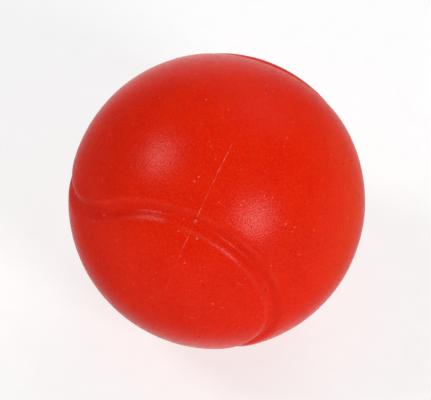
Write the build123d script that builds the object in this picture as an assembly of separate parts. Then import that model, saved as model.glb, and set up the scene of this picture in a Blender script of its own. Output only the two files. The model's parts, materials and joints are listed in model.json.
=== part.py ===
from build123d import *
from math import acos, atan2, cos, degrees, radians, sin
import os

# A soft moulded foam stress ball in the form of a tennis ball.
#
# Frame: origin at the ball's centre, +Z up, the ball lying as it came to rest.
# A dense skin forms against each half of the mould, a soft foam core fills them, and a
# thin web of flash is left where the two halves of the mould met.

# ---- driving dimensions, in millimetres and degrees ----
BALL_DIAMETER = 63.5
SKIN_THICKNESS = 2.4
BOND_CLEARANCE = 0.1          # between the skin's inner face and the core

SEAM_TIP_LATITUDE = 42.5      # how far each lobe of the seam reaches from the seam's equator
SEAM_TURN = (22.5, 44.0, 16.0)    # the seam's axes, turned about X, then new Y, then new Z

GROOVE_DEPTH = 1.2            # from the ball's surface down to the crease
GROOVE_HALF_WIDTH = 3.3       # from the crease to where the shoulder meets the ball
WALL_HALF_WIDTH = 1.7         # from the crease to where the steep wall ends
WALL_TOP_DEPTH = 0.4          # depth at which the steep wall ends
CUTTER_RISE = 0.5             # how far the groove cutter's edges stand out of the ball

PARTING_AZIMUTH = -22.5       # where the mould's pull direction points, seen from above
PARTING_ELEVATION = -12.5     # and how far it points up
FLASH_THICKNESS = 0.3
FLASH_PROUD = 0.15            # how far the trimmed flash stands out of the surface

# ---- worked out from them ----
BALL_RADIUS = BALL_DIAMETER / 2
SKIN_INNER_RADIUS = BALL_RADIUS - SKIN_THICKNESS
CORE_RADIUS = SKIN_INNER_RADIUS - BOND_CLEARANCE
PARTING_PLANE = Plane(
    origin=(0, 0, 0),
    z_dir=(
        cos(radians(PARTING_ELEVATION)) * cos(radians(PARTING_AZIMUTH)),
        cos(radians(PARTING_ELEVATION)) * sin(radians(PARTING_AZIMUTH)),
        sin(radians(PARTING_ELEVATION)),
    ),
)


def lobe_circle():
    """One lobe of the seam, as an arc of a circle on the ball.

    The circle passes through two points on the seam's equator, 90 degrees apart, and
    through the lobe's tip above the point midway between them. Returns the latitude of
    the circle's axis, its angular radius and the arc to each side of the tip, in radians.
    """
    tip = radians(SEAM_TIP_LATITUDE)
    crossing = radians(45)
    axis_latitude = -atan2(cos(tip) - cos(crossing), sin(tip))
    angular_radius = acos(cos(crossing) * cos(axis_latitude))
    half_arc = atan2(1, -sin(axis_latitude))
    return axis_latitude, angular_radius, half_arc


def groove_section(angular_radius, lift):
    """Section of the groove's cutter, on the plane through the lobe's axis.

    lift raises the whole section, and so leaves the groove that much shallower.
    """
    shoulder_slope = WALL_TOP_DEPTH / (GROOVE_HALF_WIDTH - WALL_HALF_WIDTH)
    edge_half_width = GROOVE_HALF_WIDTH + CUTTER_RISE / shoulder_slope
    outline = (
        (0, GROOVE_DEPTH),
        (WALL_HALF_WIDTH, WALL_TOP_DEPTH),
        (edge_half_width, -CUTTER_RISE),
        (0, -2 * CUTTER_RISE),
        (-edge_half_width, -CUTTER_RISE),
        (-WALL_HALF_WIDTH, WALL_TOP_DEPTH),
    )
    points = []
    for along_surface, depth in outline:
        angle = angular_radius + along_surface / BALL_RADIUS
        radius = BALL_RADIUS - depth + lift
        points.append(Vector(radius * sin(angle), 0, radius * cos(angle)))
    return make_face(Polyline(*points, close=True))


def lobe_groove(lift):
    """Cutter for one lobe of the seam, in the seam's own axes."""
    axis_latitude, angular_radius, half_arc = lobe_circle()
    middle = Vector(1, 1, 0).normalized()
    pole = Vector(0, 0, 1)
    lobe_axis = middle * cos(axis_latitude) + pole * sin(axis_latitude)
    towards_tip = pole * cos(axis_latitude) - middle * sin(axis_latitude)
    section = Rotation(0, 0, -degrees(half_arc)) * groove_section(angular_radius, lift)
    arc = revolve(section, axis=Axis.Z, revolution_arc=degrees(2 * half_arc))
    return Plane(origin=(0, 0, 0), x_dir=towards_tip, z_dir=lobe_axis).location * arc


def cut_seam(body, lift=0.0):
    """Cut the four lobes of the seam into a body: each is a half turn from the first."""
    lobe = lobe_groove(lift)
    half_turns = ((0, 0, 0), (180, 0, 0), (0, 180, 0), (0, 0, 180))
    for turn in half_turns:
        body = body - Rotation(*SEAM_TURN) * Rotation(*turn) * lobe
    return body


def skin_half(side):
    """The skin that formed in one half of the mould: side is 1 or -1 along the pull."""
    reach = 2 * BALL_RADIUS
    block = Cylinder(reach, reach, align=(Align.CENTER, Align.CENTER, Align.MIN))
    block = Pos(0, 0, FLASH_THICKNESS / 2) * block
    if side < 0:
        block = Rotation(180, 0, 0) * block
    skin = Sphere(BALL_RADIUS) - Sphere(SKIN_INNER_RADIUS)
    return cut_seam(skin & (PARTING_PLANE.location * block))


def parting_flash():
    """The web between the two skins, trimmed just proud of the ball and of the groove."""
    outer = Cylinder(BALL_RADIUS + FLASH_PROUD, FLASH_THICKNESS)
    inner = Cylinder(SKIN_INNER_RADIUS, FLASH_THICKNESS)
    return cut_seam(PARTING_PLANE.location * (outer - inner), lift=FLASH_PROUD)


def foam_core():
    """The soft low-density foam that fills the skin."""
    return Sphere(CORE_RADIUS)


def write_part(name, shape):
    """Write one sub-part as a single solid."""
    solids = shape.solids()
    if len(solids) != 1:
        raise ValueError(f"{name} has {len(solids)} solids")
    export_step(solids[0], f"parts/{name}.step")


os.makedirs("parts", exist_ok=True)
write_part("foam_core", foam_core())
write_part("skin_half_right", skin_half(1))
write_part("skin_half_left", skin_half(-1))
write_part("parting_flash", parting_flash())
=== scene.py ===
import json
from math import acos, atan2, cos, pi, radians, sin, sqrt, tan

import bmesh
import bpy
import numpy as np
from mathutils import Matrix, Vector, noise


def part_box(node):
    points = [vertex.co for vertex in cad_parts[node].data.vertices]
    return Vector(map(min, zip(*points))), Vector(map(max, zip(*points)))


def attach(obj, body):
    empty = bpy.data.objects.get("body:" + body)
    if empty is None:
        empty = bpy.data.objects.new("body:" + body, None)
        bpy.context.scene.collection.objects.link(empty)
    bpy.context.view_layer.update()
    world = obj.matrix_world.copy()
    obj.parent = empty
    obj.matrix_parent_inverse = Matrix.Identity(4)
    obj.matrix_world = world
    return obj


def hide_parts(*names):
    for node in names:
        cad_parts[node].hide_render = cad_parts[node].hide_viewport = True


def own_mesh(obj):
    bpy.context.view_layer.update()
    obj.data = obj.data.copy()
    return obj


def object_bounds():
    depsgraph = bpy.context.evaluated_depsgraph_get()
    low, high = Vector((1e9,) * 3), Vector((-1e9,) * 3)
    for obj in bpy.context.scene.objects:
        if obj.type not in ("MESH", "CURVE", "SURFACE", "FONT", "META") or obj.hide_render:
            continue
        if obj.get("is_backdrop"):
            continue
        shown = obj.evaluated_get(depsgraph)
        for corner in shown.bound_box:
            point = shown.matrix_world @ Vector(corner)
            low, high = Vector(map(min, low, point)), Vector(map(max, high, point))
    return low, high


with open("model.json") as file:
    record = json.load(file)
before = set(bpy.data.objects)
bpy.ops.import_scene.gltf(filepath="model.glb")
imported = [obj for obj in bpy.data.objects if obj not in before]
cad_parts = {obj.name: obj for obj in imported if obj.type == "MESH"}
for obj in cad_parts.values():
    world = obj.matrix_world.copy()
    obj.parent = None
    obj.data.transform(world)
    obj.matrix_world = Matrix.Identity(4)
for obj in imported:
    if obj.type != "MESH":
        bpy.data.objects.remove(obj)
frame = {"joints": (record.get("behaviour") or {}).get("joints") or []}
cad_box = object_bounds()

# A squeezable ball of soft self-skinning foam in the form of a tennis ball. It is red all
# through. Lengths are in millimetres and become metres where a mesh, lamp or camera is made.
MM = 0.001

# ---- from the frame ----
squeeze = next(joint for joint in frame["joints"] if joint["name"] == "squeeze")
BALL_RADIUS = cad_box[1].x / MM
CORE_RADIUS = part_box("foam_core")[1].x / MM
PULL = -np.array(squeeze["axis"])             # the way that the right mould half pulls off

# ---- skin ----
BOND_CLEARANCE = 0.1
SKIN_INNER_RADIUS = CORE_RADIUS + BOND_CLEARANCE

# ---- seam groove, on the CAD model's line ----
SEAM_TIP_LATITUDE = 42.5
SEAM_TURN = (22.5, 44.0, 16.0)
HALF_TURNS = ((0, 0, 0), (180, 0, 0), (0, 180, 0), (0, 0, 180))
WALL_SLOPE = tan(radians(35))
WALL_HALF_WIDTH = 2.05                        # from the crease to the middle of the shoulder
SHOULDER_SOFTNESS = 0.36
CREASE_RADIUS = 0.42

# ---- parting line ----
WEB_HALF_THICKNESS = 0.02
BEAD_HALF_WIDTH = 0.12
BEAD_HEIGHT = 0.07
BEAD_FOOT = 0.02                              # how far under the skin the bead starts
BEAD_SHOULDER = (0.72, 0.6)                   # shares of its half width and of its height
BEAD_STEPS = 2400
BEAD_WOBBLE = 0.06
FULLEST_BEAD = (                              # degrees round the parting line, fullness
    (98, 0), (106, 0.5), (109, 1), (112, 1), (135, 0.75), (148, 0.5), (168, 0.4), (176, 0),
)
THINNEST_BEAD = 0.3                           # share that is left where it is most torn
TORN_LUMPS, FINE_LUMPS, WOBBLE_LUMPS = 240, 460, 300    # round the whole line
BARE_BY_CREASE = 0.6                          # the bead dies away this near the crease
BEAD_SEED = 19
NIB_ANGLE = 137.3                             # a thick bit of bead by the crease
NIB_HALF_LENGTH = 1.1                         # in degrees
NIB_FULLNESS = 3.2
NIB_STEEPNESS = 1.5
NIB_PIT_ANGLE = 136.1                         # and a pit beside it
NIB_PIT_RADIUS, NIB_PIT_DEPTH = 0.4, 0.15

# ---- surface blemishes, with painted shade in the pits and a painted highlight on the groove's shoulders ----
BLISTERS, PINHOLES = 420, 60
BLISTER_RADII, BLISTER_RISES = (0.12, 0.32), (0.04, 0.10)
PINHOLE_RADII, PINHOLE_RISES = (0.14, 0.32), (-0.16, -0.08)
FULL_MARK_HEIGHT = 0.06                              # height or depth that shows at full strength: full paleness on a blister, full painted shade in a pit
PAINTED_SHOULDER_SHEEN = 0.12                                  # paleness of the painted highlight along the groove's shoulders
PAINTED_SHEEN_HALF_WIDTH = 0.4
PAINTED_SHEEN_PATCH_SIZE = 6
PAINTED_SHEEN_CONTRAST = 1.2
SWELL = 0.04                                  # slow unevenness of the whole ball
SWELL_SIZE = 9
SEED = 11


# ------------------------------------------------------------------------ seam geometry

def turn(degrees_xyz):
    """Matrix of a turn about X, then about the new Y, then about the new Z."""
    x, y, z = (radians(angle) for angle in degrees_xyz)
    turned = Matrix.Rotation(x, 3, "X") @ Matrix.Rotation(y, 3, "Y") @ Matrix.Rotation(z, 3, "Z")
    return np.array(turned)


def seam_lobes():
    """The seam's four circular arcs: each one's frame, and the angular radius and half arc."""
    tip = radians(SEAM_TIP_LATITUDE)
    axis_latitude = -atan2(cos(tip) - cos(pi / 4), sin(tip))
    angular_radius = acos(cos(pi / 4) * cos(axis_latitude))
    half_arc = atan2(1, -sin(axis_latitude))
    middle = np.array((1, 1, 0)) / sqrt(2)
    pole = np.array((0, 0, 1))
    axis = middle * cos(axis_latitude) + pole * sin(axis_latitude)
    towards_tip = pole * cos(axis_latitude) - middle * sin(axis_latitude)
    lobe = np.stack((towards_tip, np.cross(axis, towards_tip), axis), axis=1)
    frames = [turn(SEAM_TURN) @ turn(half_turn) @ lobe for half_turn in HALF_TURNS]
    return frames, angular_radius, half_arc


def seam_distance(directions):
    """How far each direction from the ball's centre is from the seam's crease, along the ball."""
    frames, angular_radius, half_arc = seam_lobes()
    nearest = np.full(len(directions), pi * BALL_RADIUS)
    for lobe in frames:
        local = directions @ lobe
        along = np.abs(np.arctan2(local[:, 1], local[:, 0]))
        across = np.abs(np.arccos(np.clip(local[:, 2], -1, 1)) - angular_radius)
        beside_arc = along <= half_arc + 1e-6
        nearest = np.where(beside_arc, np.minimum(nearest, BALL_RADIUS * across), nearest)
    return nearest


def groove_height(distance):
    """Height over the round ball, by distance from the crease.

    Two straight sides meet in a rounded crease, and each eases into the ball over a soft
    shoulder, where the slope dies away.
    """
    rounded = np.sqrt(distance**2 + CREASE_RADIUS**2)
    inside_shoulder = (WALL_HALF_WIDTH - rounded) / SHOULDER_SOFTNESS
    return -WALL_SLOPE * SHOULDER_SOFTNESS * np.logaddexp(0, inside_shoulder)


def on_parting_ring(angles):
    """Directions that many degrees round the parting line."""
    level = np.cross((0, 0, 1), PULL)
    level /= np.linalg.norm(level)
    upright = np.cross(PULL, level)
    turned = np.radians(angles)[:, None]
    return level * np.cos(turned) + upright * np.sin(turned)


# ------------------------------------------------------------------------- blemishes

def scattered(count, radii_range, rises, seed):
    """Random spots on the ball, most of them small: directions, radii and heights."""
    random = np.random.default_rng(seed)
    directions = random.normal(size=(count, 3))
    directions /= np.linalg.norm(directions, axis=1)[:, None]
    smallest, largest = radii_range
    radii = smallest + (largest - smallest) * random.random(count) ** 2
    return directions, radii, random.uniform(*rises, count)


def spot_distance(directions, spots):
    """Distance from each direction to the nearest spot's middle."""
    closest = np.full(len(directions), -1.0)
    for centre in spots[0]:
        closest = np.maximum(closest, directions @ centre)
    return BALL_RADIUS * np.arccos(np.clip(closest, -1, 1))


def spot_height(directions, spots):
    """Height that the spots add, each a small round bump or pit."""
    height = np.zeros(len(directions))
    for centre, radius, rise in zip(*spots):
        squared = BALL_RADIUS**2 * np.clip(2 - 2 * directions @ centre, 0, None)
        height += rise * np.clip(1 - squared / radius**2, 0, None) ** 2
    return height


BLISTER_SPOTS = scattered(BLISTERS, BLISTER_RADII, BLISTER_RISES, SEED)
PINHOLE_SPOTS = scattered(PINHOLES, PINHOLE_RADII, PINHOLE_RISES, SEED + 1)
NIB_PIT = (
    on_parting_ring(np.array([NIB_PIT_ANGLE])),
    np.array([NIB_PIT_RADIUS]),
    np.array([-NIB_PIT_DEPTH]),
)
PITS = (PINHOLE_SPOTS, NIB_PIT)


# ------------------------------------------------------------------------ mesh helpers

def coordinates(vertices):
    return np.array([vertex.co for vertex in vertices])


def set_coordinates(vertices, points):
    for vertex, point in zip(vertices, points):
        vertex.co = point


def unit(points):
    return points / np.linalg.norm(points, axis=1)[:, None]


def slow_noise(directions, size, octaves=2):
    """Smooth noise in about -1..1 on the ball, with lumps of that size in millimetres."""
    scale = BALL_RADIUS / size
    return np.array(
        [noise.fractal(Vector(point) * scale, 1.0, 2.0, octaves) for point in directions]
    )


def surface_radius(directions):
    """From the ball's centre to its skin, leaving out the blemishes."""
    swell = SWELL * slow_noise(directions, SWELL_SIZE)
    return BALL_RADIUS + groove_height(seam_distance(directions)) + swell


SHARPEST_SMOOTH_EDGE = 60                     # degrees


def finished_object(name, bm, body, node, material):
    """Object from bm, smooth-shaded with sharp rims, riding body and standing for node."""
    for face in bm.faces:
        face.smooth = True
    for edge in bm.edges:
        if len(edge.link_faces) == 2 and edge.calc_face_angle() > radians(SHARPEST_SMOOTH_EDGE):
            edge.smooth = False
    bmesh.ops.scale(bm, vec=(MM,) * 3, verts=bm.verts)
    mesh = bpy.data.meshes.new(name)
    bm.to_mesh(mesh)
    bm.free()
    piece = bpy.data.objects.new(name, mesh)
    bpy.context.scene.collection.objects.link(piece)
    mesh.materials.append(material)
    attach(piece, body)
    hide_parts(node)
    return piece


# -------------------------------------------------------------------------------- skin

# How far from the crease, and from a blemish's middle, triangles are halved each time.
REFINEMENTS = ((3.7, 0.7), (0.9, 0.5), (0.3, 0.4))
BALL_SUBDIVISIONS = 7
INNER_SUBDIVISIONS = 5
PLANE_SNAP = 0.06                             # vertices this near the cut are moved onto it


def refined_ball():
    """Unit ball of small triangles, smaller still by the seam and round every blemish."""
    bm = bmesh.new()
    bmesh.ops.create_icosphere(bm, subdivisions=BALL_SUBDIVISIONS, radius=1)
    for seam_reach, spot_reach in REFINEMENTS:
        middles = unit(np.array([edge.verts[0].co + edge.verts[1].co for edge in bm.edges]))
        chosen = seam_distance(middles) < seam_reach
        for spots in (BLISTER_SPOTS, *PITS):
            chosen |= spot_distance(middles, spots) < spot_reach
        edges = [edge for edge, wanted in zip(bm.edges, chosen) if wanted]
        bmesh.ops.subdivide_edges(bm, edges=edges, cuts=1, use_grid_fill=True)
        bmesh.ops.triangulate(bm, faces=[face for face in bm.faces if len(face.verts) > 3])
        set_coordinates(bm.verts, unit(coordinates(bm.verts)))
    return bm


def keep_half(bm, side, radius):
    """Cuts the ball of that radius at the parting plane and keeps the half on that side."""
    outwards = PULL * side
    gap = WEB_HALF_THICKNESS / radius
    bmesh.ops.bisect_plane(
        bm,
        geom=bm.verts[:] + bm.edges[:] + bm.faces[:],
        dist=PLANE_SNAP / radius,
        plane_co=outwards * gap,
        plane_no=outwards,
        clear_inner=True,
    )
    rim = {vertex for edge in bm.edges if edge.is_boundary for vertex in edge.verts}
    for vertex in rim:
        vertex.co -= Vector(outwards * (vertex.co.dot(outwards) - gap))
    bmesh.ops.triangulate(bm, faces=[face for face in bm.faces if len(face.verts) > 3])


def mark_blemishes_and_painted_light(bm, directions):
    """Stores where the skin is pale (blisters, and the painted highlight along the groove's
    shoulders) or dark (painted shade in the pits): -1 to 1.
    """
    layer = bm.verts.layers.float.new("pale_and_dark_marks")
    # a painted highlight along the groove's shoulders, in patches
    from_shoulder = (seam_distance(directions) - WALL_HALF_WIDTH) / PAINTED_SHEEN_HALF_WIDTH
    painted_sheen_patches = np.clip(0.5 + PAINTED_SHEEN_CONTRAST * slow_noise(directions, PAINTED_SHEEN_PATCH_SIZE), 0, 1)
    pale_and_dark_marks = PAINTED_SHOULDER_SHEEN * painted_sheen_patches * np.exp(-from_shoulder**2)
    pale_and_dark_marks += np.clip(spot_height(directions, BLISTER_SPOTS) / FULL_MARK_HEIGHT, 0, 1)
    # painted shade in the pinholes and the nib's pit
    for spots in PITS:
        pale_and_dark_marks += np.clip(spot_height(directions, spots) / FULL_MARK_HEIGHT, -1, 0)
    for vertex, amount in zip(bm.verts, pale_and_dark_marks):
        vertex[layer] = amount


def skin_half(name, ball, side, body, node, material):
    """One half of the moulded skin: a closed shell with the seam groove in its face."""
    bm = ball.copy()
    keep_half(bm, side, BALL_RADIUS)
    directions = unit(coordinates(bm.verts))
    mark_blemishes_and_painted_light(bm, directions)
    radii = surface_radius(directions)
    for spots in (BLISTER_SPOTS, *PITS):
        radii += spot_height(directions, spots)
    set_coordinates(bm.verts, directions * radii[:, None])

    inner = bmesh.new()
    bmesh.ops.create_icosphere(inner, subdivisions=INNER_SUBDIVISIONS, radius=1)
    keep_half(inner, side, SKIN_INNER_RADIUS)
    bmesh.ops.scale(inner, vec=(SKIN_INNER_RADIUS,) * 3, verts=inner.verts)
    bmesh.ops.reverse_faces(inner, faces=inner.faces)
    inner_mesh = bpy.data.meshes.new("inner")
    inner.to_mesh(inner_mesh)
    inner.free()
    bm.from_mesh(inner_mesh)
    bpy.data.meshes.remove(inner_mesh)
    rims = [edge for edge in bm.edges if edge.is_boundary]
    bmesh.ops.bridge_loops(bm, edges=rims)
    bmesh.ops.triangulate(bm, faces=[face for face in bm.faces if len(face.verts) > 3])
    return finished_object(name, bm, body, node, material)


# ------------------------------------------------------------------------ parting line

def ring_noise(steps, lumps, seed):
    """Smooth random numbers in 0..1 round a ring, with that many lumps."""
    random = np.random.default_rng(seed)
    knots = random.random(lumps)
    place = np.arange(steps) * lumps / steps
    first = place.astype(int)
    share = place - first
    share = share * share * (3 - 2 * share)
    return knots[first] * (1 - share) + knots[(first + 1) % lumps] * share


def bead_fullness(directions, angles):
    """How much of the bead is left at each step: 0 where it is trimmed away, above 1 in the nib."""
    most = np.interp(angles, *zip(*FULLEST_BEAD))
    torn = ring_noise(BEAD_STEPS, TORN_LUMPS, BEAD_SEED)
    fine = ring_noise(BEAD_STEPS, FINE_LUMPS, BEAD_SEED + 1)
    left = most * np.clip(2.2 * torn + 0.8 * fine - 1.2, THINNEST_BEAD, 1)
    left *= np.clip(seam_distance(directions) / BARE_BY_CREASE, 0, 1)
    from_nib = np.abs(angles - NIB_ANGLE) / NIB_HALF_LENGTH
    nib = NIB_FULLNESS * np.clip(NIB_STEEPNESS * (1 - from_nib), 0, 1)
    return np.maximum(left, nib)


def flash_section(fullness, aside):
    """The web's and bead's outline at one step: (across, height over the skin) points.

    The bead leans that far aside. The two points without a height are the web's foot.
    """
    half_width = WEB_HALF_THICKNESS + (BEAD_HALF_WIDTH - WEB_HALF_THICKNESS) * fullness
    height = BEAD_HEIGHT * fullness - BEAD_FOOT / 2 * max(0, 1 - fullness)
    shoulder = (BEAD_SHOULDER[0] * half_width, BEAD_SHOULDER[1] * height)
    web = [(WEB_HALF_THICKNESS, None), (WEB_HALF_THICKNESS, -BEAD_FOOT)]
    bead = [(half_width, -BEAD_FOOT), shoulder, (0, height)]
    bead += [(-across, up) for across, up in reversed(bead[:2])]
    other_web = [(-across, up) for across, up in reversed(web)]
    return web + [(across + aside, up) for across, up in bead] + other_web


def parting_flash(material):
    """The thin web between the skins, and the ragged bead that stands proud where it was full."""
    angles = np.arange(BEAD_STEPS) * 360 / BEAD_STEPS
    ring_directions = on_parting_ring(angles)
    fullnesses = bead_fullness(ring_directions, angles)
    sway = 2 * ring_noise(BEAD_STEPS, WOBBLE_LUMPS, BEAD_SEED + 2) - 1
    wobble = BEAD_WOBBLE * sway * np.minimum(1, fullnesses)
    bm = bmesh.new()
    layer = bm.verts.layers.float.new("pale_and_dark_marks")
    rings = []
    for outwards, fullness, aside in zip(ring_directions, fullnesses, wobble):
        section = flash_section(fullness, aside)
        across = np.array([point[0] for point in section])
        directions = unit(outwards * BALL_RADIUS + across[:, None] * PULL)
        ring = []
        for direction, ground, (_, up) in zip(directions, surface_radius(directions), section):
            radius = SKIN_INNER_RADIUS + BOND_CLEARANCE if up is None else ground + up
            vertex = bm.verts.new(direction * radius)
            vertex[layer] = min(1, fullness)
            ring.append(vertex)
        rings.append(ring)
    for ring, following in zip(rings, rings[1:] + rings[:1]):
        for corner in range(len(ring)):
            before = corner - 1
            bm.faces.new((ring[before], ring[corner], following[corner], following[before]))
    bmesh.ops.recalc_face_normals(bm, faces=bm.faces)
    bmesh.ops.triangulate(bm, faces=bm.faces[:])
    return finished_object("Flash_Line", bm, "core", "parting_flash", material)


# -------------------------------------------------------------------------------- core

CORE_SUBDIVISIONS = 7
CELL_SIZE = 2.2
CELL_DEPTH = 0.55
CELL_WALL = 0.35                              # share of a cell that its sloping side takes
CELL_ROUNDNESS = 0.4                          # how fast a cell gets shallower from its middle


def foam_core(material):
    """The soft foam ball inside: rounded open cells all over, sunk into its surface."""
    bm = bmesh.new()
    bmesh.ops.create_icosphere(bm, subdivisions=CORE_SUBDIVISIONS, radius=1)
    directions = unit(coordinates(bm.verts))
    sinks = []
    for direction in directions:
        nearest = noise.voronoi(Vector(direction) * CORE_RADIUS / CELL_SIZE)[0]
        inside_wall = min(1, (nearest[1] - nearest[0]) / CELL_WALL)
        sinks.append(CELL_DEPTH * inside_wall * (1 - CELL_ROUNDNESS * nearest[0]))
    radii = CORE_RADIUS - np.array(sinks)
    set_coordinates(bm.verts, directions * radii[:, None])
    return finished_object("Foam_Core", bm, "core", "foam_core", material)


# --------------------------------------------------------------------------- materials

def new_material(name):
    """An empty node material: its nodes, its links and its shader, with object coordinates."""
    material = bpy.data.materials.new(name)
    material.use_nodes = True
    tree = material.node_tree
    place = tree.nodes.new("ShaderNodeTexCoord").outputs["Object"]
    return material, tree, place, tree.nodes["Principled BSDF"]


def noise_node(tree, place, size, detail=2.0, roughness=0.5):
    """Noise with lumps of that size in millimetres. Returns its 0..1 output."""
    node = tree.nodes.new("ShaderNodeTexNoise")
    node.inputs["Scale"].default_value = 1 / (size * MM)
    node.inputs["Detail"].default_value = detail
    node.inputs["Roughness"].default_value = roughness
    tree.links.new(place, node.inputs["Vector"])
    return node.outputs["Fac"]


def mapped(tree, value, low, high, to_low, to_high):
    """value mapped from low..high to to_low..to_high, clamped."""
    node = tree.nodes.new("ShaderNodeMapRange")
    bounds = (low, high, to_low, to_high)
    for name, number in zip(("From Min", "From Max", "To Min", "To Max"), bounds):
        node.inputs[name].default_value = number
    tree.links.new(value, node.inputs["Value"])
    return node.outputs["Result"]


def mixed(tree, share, first, second):
    """Colour from first to second by share. Either may be a fixed colour or an output."""
    node = tree.nodes.new("ShaderNodeMix")
    node.data_type = "RGBA"
    share_socket, first_socket, second_socket = node.inputs[0], node.inputs[6], node.inputs[7]
    tree.links.new(share, share_socket)
    for socket, colour in ((first_socket, first), (second_socket, second)):
        if isinstance(colour, tuple):
            socket.default_value = (*colour, 1)
        else:
            tree.links.new(colour, socket)
    return node.outputs[2]


def voronoi_distance(tree, place, size):
    """Distance from the middle of the nearest cell, with cells of that size in millimetres."""
    node = tree.nodes.new("ShaderNodeTexVoronoi")
    node.inputs["Scale"].default_value = 1 / (size * MM)
    tree.links.new(place, node.inputs["Vector"])
    return node.outputs["Distance"]


def stored(tree, layer):
    """The amount that the mesh stores under that name."""
    node = tree.nodes.new("ShaderNodeAttribute")
    node.attribute_name = layer
    return node.outputs["Fac"]


def bumped(tree, height, depth, below=None):
    """Bump of that depth in millimetres, over an earlier bump if one is given."""
    node = tree.nodes.new("ShaderNodeBump")
    node.inputs["Distance"].default_value = depth * MM
    node.inputs["Strength"].default_value = 1
    tree.links.new(height, node.inputs["Height"])
    if below is not None:
        tree.links.new(below, node.inputs["Normal"])
    return node.outputs["Normal"]


# Linear red, green and blue.
DEEP_RED, LIGHT_RED = (0.74, 0.0075, 0.0001), (0.775, 0.0110, 0.0004)
MOTTLE_RED = (0.63, 0.0103, 0.0001)
DUST = (0.86, 0.31, 0.03)
# painted shade in the pores
PAINTED_PORE_SHADE = (0.50, 0.006, 0.0004)
# pale blisters, and the painted highlight along the groove's shoulders
BLISTER_AND_PAINTED_SHEEN_PINK = (0.85, 0.16, 0.12)
# painted shade in the pinholes and pits
PAINTED_PIT_SHADE = (0.25, 0.002, 0.001)
WEB_RED = (0.75, 0.0145, 0.0002)
TORN_PINK, TORN_PALE = (0.80, 0.06, 0.03), (0.86, 0.19, 0.13)
# painted shade in the foam's cells, and their paler walls
PAINTED_CELL_SHADE, CELL_WALL_RED = (0.42, 0.012, 0.006), (0.78, 0.07, 0.045)
SKIN_SPECULAR, FLASH_SPECULAR = 0.12, 0.13


def skin_colour(tree, place, beside_pores):
    """Cloudy, mottled red with pale dust and pale blisters, painted shade in the pores, pinholes
    and pits, and a painted highlight along the groove's shoulders.
    """
    cloudy = mapped(tree, noise_node(tree, place, 7, 3), 0.35, 0.65, 0, 1)
    red = mixed(tree, cloudy, DEEP_RED, LIGHT_RED)
    mottle = mapped(tree, noise_node(tree, place, 0.45, 3, 0.6), 0.5, 0.75, 0, 0.6)
    red = mixed(tree, mottle, red, MOTTLE_RED)
    dust = mapped(tree, noise_node(tree, place, 0.34, 1), 0.44, 0.70, 0, 0.06)
    red = mixed(tree, dust, red, DUST)
    # painted shade in the pores
    red = mixed(tree, beside_pores, PAINTED_PORE_SHADE, red)
    # pale blisters and painted highlight above 0, painted shade in pits below 0
    pale_and_dark_marks = stored(tree, "pale_and_dark_marks")
    # pale blisters, and the painted highlight along the groove's shoulders
    red = mixed(tree, mapped(tree, pale_and_dark_marks, 0, 1, 0, 0.8), red, BLISTER_AND_PAINTED_SHEEN_PINK)
    # painted shade in the pinholes and pits
    return mixed(tree, mapped(tree, pale_and_dark_marks, -1, 0, 0.7, 0), red, PAINTED_PIT_SHADE)


def skin_material():
    """Soft satin moulded foam skin, with orange peel, a fine grain and pores in its surface."""
    material, tree, place, shader = new_material("Moulded_Red_Skin")
    beside_pores = mapped(tree, voronoi_distance(tree, place, 0.5), 0.05, 0.22, 0, 1)
    tree.links.new(skin_colour(tree, place, beside_pores), shader.inputs["Base Color"])
    sheen_patches = noise_node(tree, place, 1.6, 4, 0.6)
    tree.links.new(mapped(tree, sheen_patches, 0.3, 0.7, 0.24, 0.30), shader.inputs["Roughness"])
    peel = bumped(tree, noise_node(tree, place, 0.7), 0.02)
    grain = bumped(tree, noise_node(tree, place, 0.32, 1), 0.05, peel)
    tree.links.new(bumped(tree, beside_pores, 0.05, grain), shader.inputs["Normal"])
    shader.inputs["IOR"].default_value = 1.5
    shader.inputs["Specular IOR Level"].default_value = SKIN_SPECULAR
    return material


def flash_material():
    """The skin's red in the thin web, and torn, paler and rougher where the bead stands."""
    material, tree, place, shader = new_material("Parting_Flash_Red")
    torn = mapped(tree, noise_node(tree, place, 0.5, 3, 0.6), 0.35, 0.65, 0, 1)
    bead = mixed(tree, torn, TORN_PINK, TORN_PALE)
    standing = mapped(tree, stored(tree, "pale_and_dark_marks"), 0, 0.6, 0, 1)
    tree.links.new(mixed(tree, standing, WEB_RED, bead), shader.inputs["Base Color"])
    tree.links.new(mapped(tree, torn, 0, 1, 0.42, 0.6), shader.inputs["Roughness"])
    rough = bumped(tree, noise_node(tree, place, 0.2, 2, 0.6), 0.03)
    tree.links.new(rough, shader.inputs["Normal"])
    shader.inputs["Specular IOR Level"].default_value = FLASH_SPECULAR
    return material


def foam_material():
    """Dull open-celled red foam, paler on its cell walls, with painted shade in the sunk middles of
    its cells.
    """
    material, tree, place, shader = new_material("Core_Red_Foam")
    from_middle = voronoi_distance(tree, place, 0.6)
    shade = mapped(tree, from_middle, 0.1, 0.7, 0, 1)
    # painted shade in the cells' sunk middles
    tree.links.new(mixed(tree, shade, PAINTED_CELL_SHADE, CELL_WALL_RED), shader.inputs["Base Color"])
    rough = mapped(tree, noise_node(tree, place, 1.2, 3), 0.3, 0.7, 0.8, 0.95)
    tree.links.new(rough, shader.inputs["Roughness"])
    tree.links.new(bumped(tree, from_middle, 0.25), shader.inputs["Normal"])
    return material


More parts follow.
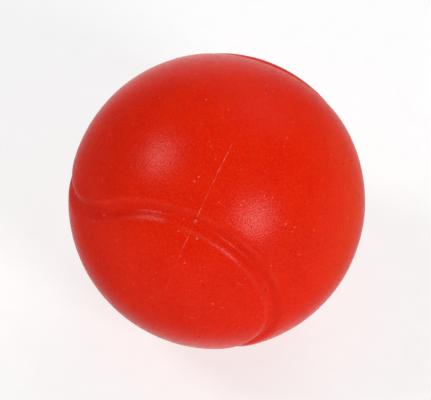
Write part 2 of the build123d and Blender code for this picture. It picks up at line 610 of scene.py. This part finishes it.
def floor_material():
    """Plain matt card that glows a little, so that it looks white and its shadows stay faint."""
    material, tree, place, shader = new_material("Pale_Card")
    fibre = mapped(tree, noise_node(tree, place, 4, 3), 0.3, 0.7, 0, 1)
    colour = mixed(tree, fibre, (0.32, 0.32, 0.32), (0.34, 0.34, 0.34))
    tree.links.new(colour, shader.inputs["Base Color"])
    shader.inputs["Roughness"].default_value = 0.9
    shader.inputs["Specular IOR Level"].default_value = 0.1
    shader.inputs["Emission Color"].default_value = (1, 1, 1, 1)
    shader.inputs["Emission Strength"].default_value = FLOOR_GLOW
    return material


# ------------------------------------------------------------------- floor, light, camera

FLOOR_SIZE = 16000
FLOOR_GLOW = 0.67
LAMP_HALF_ANGLE, FILL_HALF_ANGLE = 9, 20
LEFT_LAMP_DIRECTION, LEFT_BRIGHTNESS = (-0.668, 0.059, 0.743), 0.32
FRONT_LAMP_DIRECTION, FRONT_BRIGHTNESS = (0.494, -0.726, 0.481), 0.53
FILL_DIRECTION, FILL_BRIGHTNESS = (0.42, 0.68, 0.60), 0.30
DIM_LIGHT, BACK_LIGHT = 0.27, 0.75            # what the surroundings light the ball with
DIM_MIRRORED, BACK_MIRRORED = 0.03, 1.08      # and what they look like mirrored in it
BACKDROP_TILT = 14                            # degrees from the line of sight up to its middle
BACKDROP_EDGE, BACKDROP_FULL = 74, 20         # degrees from its middle
BACKDROP_REACH, BACKDROP_SIDES = 0.6, 0.05    # how far aside it fades, and what is left there
WARM_GLOW_DIRECTION = (0.92, 0.25, -0.30)
WARM_GLOW = (0.48, 0.40, 0.12)
WARM_GLOW_EDGE, WARM_GLOW_FULL = 45, 20
CAMERA_ELEVATION = 50
CAMERA_DISTANCE = 1905
VIEW_WIDTH = 92.21                            # across the picture, at the ball
AIM_LEFT, AIM_UP = 0.26, 0.19                 # the ball is not quite in the picture's middle


def front_direction(elevation):
    """From the ball straight to the front, that many degrees up."""
    return Vector((0, -cos(radians(elevation)), sin(radians(elevation))))


def pale_floor(height):
    """A large flat card under the ball."""
    bm = bmesh.new()
    bmesh.ops.create_grid(bm, x_segments=8, y_segments=8, size=FLOOR_SIZE / 2 * MM)
    mesh = bpy.data.meshes.new("Floor")
    bm.to_mesh(mesh)
    bm.free()
    floor = bpy.data.objects.new("Floor", mesh)
    floor.location.z = height
    bpy.context.scene.collection.objects.link(floor)
    mesh.materials.append(floor_material())
    floor.visible_glossy = False              # the backdrop's glow takes its place
    floor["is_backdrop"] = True


def lamp(name, direction, half_angle, brightness, shines=True):
    """Far round soft lamp, seen from the ball at that half angle.

    brightness is what it lights a facing white card to, where 1 is full white. A lamp that
    doesn't shine fills in the shade and makes hardly any highlight.
    """
    light = bpy.data.lights.new(name, "SUN")
    light.angle = radians(2 * half_angle)
    light.energy = brightness * pi
    holder = bpy.data.objects.new(name, light)
    holder.rotation_euler = Vector(direction).to_track_quat("Z", "Y").to_euler()
    holder.visible_glossy = shines
    bpy.context.scene.collection.objects.link(holder)


def patch(tree, direction, towards, edge, full):
    """Soft round patch of the surroundings: 0 at edge degrees from its middle, 1 at full."""
    facing = tree.nodes.new("ShaderNodeVectorMath")
    facing.operation = "DOT_PRODUCT"
    facing.inputs[1].default_value = tuple(Vector(towards).normalized())
    tree.links.new(direction, facing.inputs[0])
    return mapped(tree, facing.outputs["Value"], cos(radians(edge)), cos(radians(full)), 0, 1)


def backdrop(tree, direction):
    """How much of the backdrop beyond the ball shows in a direction: most up its middle."""
    middle = -front_direction(CAMERA_ELEVATION - BACKDROP_TILT)
    beyond = patch(tree, direction, middle, BACKDROP_EDGE, BACKDROP_FULL)
    axes = tree.nodes.new("ShaderNodeSeparateXYZ")
    tree.links.new(direction, axes.inputs[0])
    aside = tree.nodes.new("ShaderNodeMath")
    aside.operation = "ABSOLUTE"
    tree.links.new(axes.outputs["X"], aside.inputs[0])
    both = tree.nodes.new("ShaderNodeMath")
    both.operation = "MULTIPLY"
    tree.links.new(beyond, both.inputs[0])
    faded = mapped(tree, aside.outputs[0], 0, BACKDROP_REACH, 1, BACKDROP_SIDES)
    tree.links.new(faded, both.inputs[1])
    return both.outputs[0]


def added(tree, first, second):
    """Sum of two colours."""
    total = tree.nodes.new("ShaderNodeVectorMath")
    tree.links.new(first, total.inputs[0])
    tree.links.new(second, total.inputs[1])
    return total.outputs["Vector"]


def surroundings():
    """The world past the floor: white to look at, dimmer as light, and a studio in the gloss."""
    world = bpy.data.worlds.new("Studio")
    bpy.context.scene.world = world
    world.use_nodes = True
    tree = world.node_tree
    direction = tree.nodes.new("ShaderNodeTexCoord").outputs["Generated"]
    path = tree.nodes.new("ShaderNodeLightPath")
    beyond = backdrop(tree, direction)
    lighting = mixed(tree, beyond, (DIM_LIGHT,) * 3, (BACK_LIGHT,) * 3)
    mirrored = mixed(tree, beyond, (DIM_MIRRORED,) * 3, (BACK_MIRRORED,) * 3)
    warmth = patch(tree, direction, WARM_GLOW_DIRECTION, WARM_GLOW_EDGE, WARM_GLOW_FULL)
    mirrored = added(tree, mirrored, mixed(tree, warmth, (0.0,) * 3, WARM_GLOW))
    seen = mixed(tree, path.outputs["Is Glossy Ray"], lighting, mirrored)
    seen = mixed(tree, path.outputs["Is Camera Ray"], seen, (1.0, 1.0, 1.0))
    tree.links.new(seen, tree.nodes["Background"].inputs["Color"])


def camera():
    """Long lens, looking down at the ball from the front."""
    elevation = radians(CAMERA_ELEVATION)
    back = front_direction(CAMERA_ELEVATION)
    up = Vector((0, sin(elevation), cos(elevation)))
    right = Vector((1, 0, 0))
    data = bpy.data.cameras.new("Camera")
    data.sensor_width = 36
    data.lens = data.sensor_width * CAMERA_DISTANCE / VIEW_WIDTH
    data.clip_start = 0.05
    data.clip_end = 20
    holder = bpy.data.objects.new("Camera", data)
    holder.location = (back * CAMERA_DISTANCE - right * AIM_LEFT + up * AIM_UP) * MM
    holder.rotation_euler = back.to_track_quat("Z", "Y").to_euler()
    bpy.context.scene.collection.objects.link(holder)
    bpy.context.scene.camera = holder


# ----------------------------------------------------------------------------- the ball

def stress_ball():
    """All four pieces, with the squeeze joint and anchor listed for each, and each given a mesh of
    its own.
    """
    red_skin = skin_material()
    ball = refined_ball()
    right = skin_half("Skin_Right", ball, 1, "right_half", "skin_half_right", red_skin)
    left = skin_half("Skin_Left", ball, -1, "left_half", "skin_half_left", red_skin)
    ball.free()
    flash = parting_flash(flash_material())
    core = foam_core(foam_material())
    pole = PULL * BALL_RADIUS * MM
    pressed = (
        (right, "squeeze", pole),
        (left, "squeeze_left", -pole),
        (flash, "squeeze", pole * 0),
        (core, "squeeze", pole * 0),
    )
    for piece, joint, anchor in pressed:
        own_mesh(piece)


camera()
surroundings()
lamp("Left_Lamp", LEFT_LAMP_DIRECTION, LAMP_HALF_ANGLE, LEFT_BRIGHTNESS)
lamp("Front_Lamp", FRONT_LAMP_DIRECTION, LAMP_HALF_ANGLE, FRONT_BRIGHTNESS)
lamp("Right_Fill", FILL_DIRECTION, FILL_HALF_ANGLE, FILL_BRIGHTNESS, shines=False)
bpy.context.scene.view_settings.view_transform = "Standard"
stress_ball()
pale_floor(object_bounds()[0].z)
